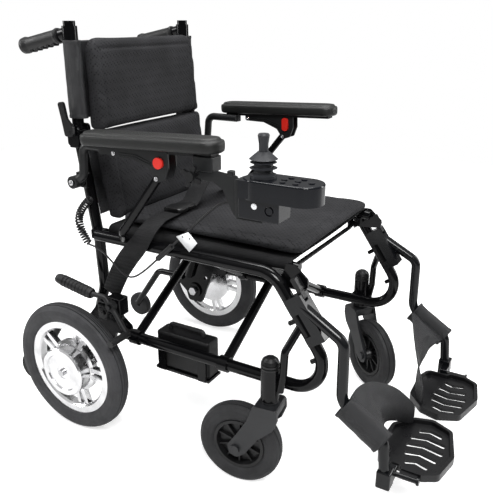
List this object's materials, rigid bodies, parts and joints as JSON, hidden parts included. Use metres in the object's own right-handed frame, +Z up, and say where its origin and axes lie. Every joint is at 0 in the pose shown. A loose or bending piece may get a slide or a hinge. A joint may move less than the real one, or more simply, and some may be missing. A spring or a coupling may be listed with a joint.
{
  "type": "power wheelchair",
  "caption": "Folding power wheelchair: bent-tube side frames on cross braces, hub-motor rear wheels, swivel casters, flip-up armrests with joystick, swing-away footrests.",
  "frame": {"origin": "on the floor under the middle of the chair's bounding box", "axes": "+Z up, -Y the way the chair faces, +X the user's left"},
  "size_m": [0.684, 1.1197, 0.927],
  "materials": {
    "frame_paint": "gloss black powder coat",
    "fork_paint": "charcoal satin paint",
    "clamp_paint": "black painted tube with a matte blue-grey clamp",
    "steel": "bright zinc",
    "alloy": "polished cast",
    "tyre": "dark grey rubber",
    "roller": "matte",
    "grip_rubber": "matte ribbed",
    "black_plastic": "fine grain",
    "battery_plastic": "matte",
    "plate_plastic": "satin moulded",
    "arm_plastic": "dark grey moulded",
    "case_plastic": "blue-black gloss",
    "key_plastic": "satin",
    "red_plastic": "gloss red",
    "mesh": "black spacer mesh",
    "sling": "black nylon",
    "sleeve": "grey satin nylon",
    "webbing": "woven belt webbing",
    "pad_leather": "leather-grain polyurethane",
    "cable": "satin"
  },
  "bodies": {
    "right_frame": {"side_frame_right": "frame_paint", "frame_fittings_right": "black_plastic", "motor_mount_right": "steel", "back_pad_lower": "mesh", "coiled_cord": "cable"},
    "cane_right": {"cane_right": "frame_paint", "push_grip_right": "grip_rubber", "cane_sleeve_right": "sleeve", "back_pad_upper": "mesh"},
    "back_lever_right": {"back_lever_right": "black_plastic"},
    "arm_right": {"arm_frame_right": "arm_plastic", "arm_pad_right": "pad_leather", "controller_case": "case_plastic", "controller_lead": "cable", "lead_connector": "black_plastic"},
    "release_button_right": {"release_button_right": "red_plastic"},
    "hanger_right": {"hanger_right": "clamp_paint", "heel_loop_right": "sleeve"},
    "release_lever_right": {"release_lever_right": "black_plastic"},
    "footplate_right": {"footplate_right": "plate_plastic"},
    "caster_swivel_right": {"caster_fork_right": "fork_paint"},
    "caster_wheel_right": {"caster_tyre_right": "tyre", "caster_hub_right": "black_plastic"},
    "drive_wheel_right": {"drive_tyre_right": "tyre", "drive_wheel_right": "alloy"},
    "brake_lever_right": {"brake_lever_right": "grip_rubber"},
    "anti_tip_wheel_right": {"anti_tip_wheel_right": "roller"},
    "left_frame": {"side_frame_left": "frame_paint", "frame_fittings_left": "black_plastic", "motor_mount_left": "steel"},
    "cane_left": {"cane_left": "frame_paint", "push_grip_left": "grip_rubber", "cane_sleeve_left": "sleeve"},
    "back_lever_left": {"back_lever_left": "black_plastic"},
    "arm_left": {"arm_frame_left": "arm_plastic", "arm_pad_left": "pad_leather"},
    "release_button_left": {"release_button_left": "red_plastic"},
    "hanger_left": {"hanger_left": "clamp_paint", "heel_loop_left": "sleeve"},
    "release_lever_left": {"release_lever_left": "black_plastic"},
    "footplate_left": {"footplate_left": "plate_plastic"},
    "caster_swivel_left": {"caster_fork_left": "fork_paint"},
    "caster_wheel_left": {"caster_tyre_left": "tyre", "caster_hub_left": "black_plastic"},
    "drive_wheel_left": {"drive_tyre_left": "tyre", "drive_wheel_left": "alloy"},
    "brake_lever_left": {"brake_lever_left": "grip_rubber"},
    "anti_tip_wheel_left": {"anti_tip_wheel_left": "roller"},
    "brace_a": {"brace_bars_a": "frame_paint", "brace_pivots": "steel"},
    "brace_b": {"brace_bars_b": "frame_paint"},
    "spreader": {"front_spreader": "frame_paint"},
    "seat": {"seat_sling": "sling", "seat_cushion": "mesh", "lap_belt": "webbing"},
    "stick_gimbal": {"joystick_boot": "grip_rubber"},
    "joystick": {"joystick_knob": "grip_rubber"},
    "keypad": {"keypad_buttons": "key_plastic"},
    "wing_knob": {"wing_knob": "black_plastic"},
    "battery": {"battery": "battery_plastic"}
  },
  "joints": [
    {"name": "fold", "type": "hinge", "parent": "right_frame", "child": "brace_a", "pos_m": [-0.227, 0.14, 0.238], "axis": [0, -1, 0], "range_deg": [0, 35], "deforming": ["seat_sling", "seat_cushion", "lap_belt", "back_pad_lower", "back_pad_upper", "heel_loop_right", "heel_loop_left"]},
    {"name": "brace_cross", "type": "hinge", "parent": "brace_a", "child": "brace_b", "pos_m": [0, 0.14, 0.36771], "axis": [0, -1, 0], "range_deg": [-70.5, 0.5]},
    {"name": "left_frame_foot", "type": "hinge", "parent": "brace_b", "child": "left_frame", "pos_m": [0.227, 0.14, 0.238], "axis": [0, -1, 0], "range_deg": [-0.5, 35.5]},
    {"name": "seat_level", "type": "hinge", "parent": "brace_b", "child": "seat", "pos_m": [-0.2, 0.14, 0.482], "axis": [0, -1, 0], "range_deg": [-0.5, 35.5]},
    {"name": "spreader_drop", "type": "hinge", "parent": "brace_a", "child": "spreader", "pos_m": [0.174, -0.21, 0.461], "axis": [0, -1, 0], "range_deg": [-0.5, 53]},
    {"name": "back_fold_right", "type": "hinge", "parent": "right_frame", "child": "cane_right", "pos_m": [-0.202, 0.3, 0.7], "axis": [-1, 0, 0], "range_deg": [0, 105]},
    {"name": "back_lever_right_pull", "type": "hinge", "parent": "right_frame", "child": "back_lever_right", "pos_m": [-0.23, 0.3, 0.7], "axis": [-1, 0, 0], "range_deg": [0, 25]},
    {"name": "armrest_right_flip", "type": "hinge", "parent": "right_frame", "child": "arm_right", "pos_m": [-0.245, 0.282, 0.595], "axis": [-1, 0, 0], "range_deg": [0, 95], "deforming": ["controller_lead", "coiled_cord"]},
    {"name": "release_button_right_press", "type": "slide", "parent": "arm_right", "child": "release_button_right", "axis": [1, 0, 0], "range_m": [0, 0.0035], "stiffness_N_per_m": 300},
    {"name": "hanger_right_swing", "type": "hinge", "parent": "right_frame", "child": "hanger_right", "pos_m": [-0.227, -0.26432, 0.383], "axis": [0, -0.5736, -0.8192], "range_deg": [0, 65]},
    {"name": "release_lever_right_press", "type": "hinge", "parent": "hanger_right", "child": "release_lever_right", "pos_m": [-0.227, -0.26611, 0.43797], "axis": [1, 0, 0], "range_deg": [0, 12], "stiffness_Nm_per_rad": 0.4},
    {"name": "footplate_right_flip", "type": "hinge", "parent": "hanger_right", "child": "footplate_right", "pos_m": [-0.214, -0.49, 0.098], "axis": [0, -1, 0], "range_deg": [-0.5, 90.5]},
    {"name": "caster_right_swivel", "type": "hinge", "parent": "right_frame", "child": "caster_swivel_right", "pos_m": [-0.26, -0.215, 0.195], "axis": [0, 0, 1], "continuous": true},
    {"name": "caster_right_roll", "type": "hinge", "parent": "caster_swivel_right", "child": "caster_wheel_right", "pos_m": [-0.2678, -0.15148, 0.092], "axis": [0.9925, 0.1219, 0], "continuous": true},
    {"name": "drive_wheel_right_roll", "type": "hinge", "parent": "right_frame", "child": "drive_wheel_right", "pos_m": [-0.3, 0.29, 0.159], "axis": [1, 0, 0], "continuous": true},
    {"name": "brake_lever_right_pull", "type": "hinge", "parent": "right_frame", "child": "brake_lever_right", "pos_m": [-0.272, 0.182, 0.328], "axis": [1, 0, 0], "range_deg": [0, 15]},
    {"name": "anti_tip_right_roll", "type": "hinge", "parent": "right_frame", "child": "anti_tip_wheel_right", "pos_m": [-0.226, 0.522, 0.052], "axis": [1, 0, 0], "continuous": true},
    {"name": "back_fold_left", "type": "hinge", "parent": "left_frame", "child": "cane_left", "pos_m": [0.202, 0.3, 0.7], "axis": [-1, 0, 0], "range_deg": [0, 105]},
    {"name": "back_lever_left_pull", "type": "hinge", "parent": "left_frame", "child": "back_lever_left", "pos_m": [0.23, 0.3, 0.7], "axis": [-1, 0, 0], "range_deg": [0, 25]},
    {"name": "armrest_left_flip", "type": "hinge", "parent": "left_frame", "child": "arm_left", "pos_m": [0.245, 0.282, 0.595], "axis": [-1, 0, 0], "range_deg": [0, 95]},
    {"name": "release_button_left_press", "type": "slide", "parent": "arm_left", "child": "release_button_left", "axis": [-1, 0, 0], "range_m": [0, 0.0035], "stiffness_N_per_m": 300},
    {"name": "hanger_left_swing", "type": "hinge", "parent": "left_frame", "child": "hanger_left", "pos_m": [0.227, -0.26432, 0.383], "axis": [0, 0.5736, 0.8192], "range_deg": [0, 65]},
    {"name": "release_lever_left_press", "type": "hinge", "parent": "hanger_left", "child": "release_lever_left", "pos_m": [0.227, -0.26611, 0.43797], "axis": [1, 0, 0], "range_deg": [0, 12], "stiffness_Nm_per_rad": 0.4},
    {"name": "footplate_left_flip", "type": "hinge", "parent": "hanger_left", "child": "footplate_left", "pos_m": [0.214, -0.49, 0.098], "axis": [0, 1, 0], "range_deg": [-0.5, 90.5]},
    {"name": "caster_left_swivel", "type": "hinge", "parent": "left_frame", "child": "caster_swivel_left", "pos_m": [0.26, -0.215, 0.195], "axis": [0, 0, 1], "continuous": true},
    {"name": "caster_left_roll", "type": "hinge", "parent": "caster_swivel_left", "child": "caster_wheel_left", "pos_m": [0.22238, -0.26678, 0.092], "axis": [-0.809, 0.5878, 0], "continuous": true},
    {"name": "drive_wheel_left_roll", "type": "hinge", "parent": "left_frame", "child": "drive_wheel_left", "pos_m": [0.3, 0.29, 0.159], "axis": [1, 0, 0], "continuous": true},
    {"name": "brake_lever_left_pull", "type": "hinge", "parent": "left_frame", "child": "brake_lever_left", "pos_m": [0.272, 0.182, 0.328], "axis": [1, 0, 0], "range_deg": [0, 15]},
    {"name": "anti_tip_left_roll", "type": "hinge", "parent": "left_frame", "child": "anti_tip_wheel_left", "pos_m": [0.226, 0.522, 0.052], "axis": [1, 0, 0], "continuous": true},
    {"name": "joystick_forward", "type": "hinge", "parent": "arm_right", "child": "stick_gimbal", "pos_m": [-0.265, -0.198, 0.664], "axis": [1, 0, 0], "range_deg": [-16, 16], "stiffness_Nm_per_rad": 0.6, "deforming": ["joystick_boot"]},
    {"name": "joystick_side", "type": "hinge", "parent": "stick_gimbal", "child": "joystick", "pos_m": [-0.265, -0.198, 0.664], "axis": [0, 1, 0], "range_deg": [-16, 16], "stiffness_Nm_per_rad": 0.6, "deforming": ["joystick_boot"]},
    {"name": "keypad_press", "type": "slide", "parent": "arm_right", "child": "keypad", "axis": [0, 0, -1], "range_m": [0, 0.0012], "stiffness_N_per_m": 600},
    {"name": "wing_knob_turn", "type": "hinge", "parent": "arm_right", "child": "wing_knob", "pos_m": [-0.296, -0.07, 0.662], "axis": [1, 0, 0], "continuous": true},
    {"name": "battery_lift", "type": "slide", "parent": "right_frame", "child": "battery", "axis": [0, 0, 1], "range_m": [0, 0.12]}
  ],
  "couplings": [
    {"joint": "brace_cross", "follows": "fold", "ratio": -2},
    {"joint": "left_frame_foot", "follows": "fold", "ratio": 1},
    {"joint": "seat_level", "follows": "fold", "ratio": 1},
    {"joint": "spreader_drop", "follows": "fold", "ratio": 1.5},
    {"joint": "footplate_right_flip", "follows": "fold", "ratio": 2.5714},
    {"joint": "back_fold_left", "follows": "back_fold_right", "ratio": 1},
    {"joint": "footplate_left_flip", "follows": "fold", "ratio": 2.5714}
  ]
}
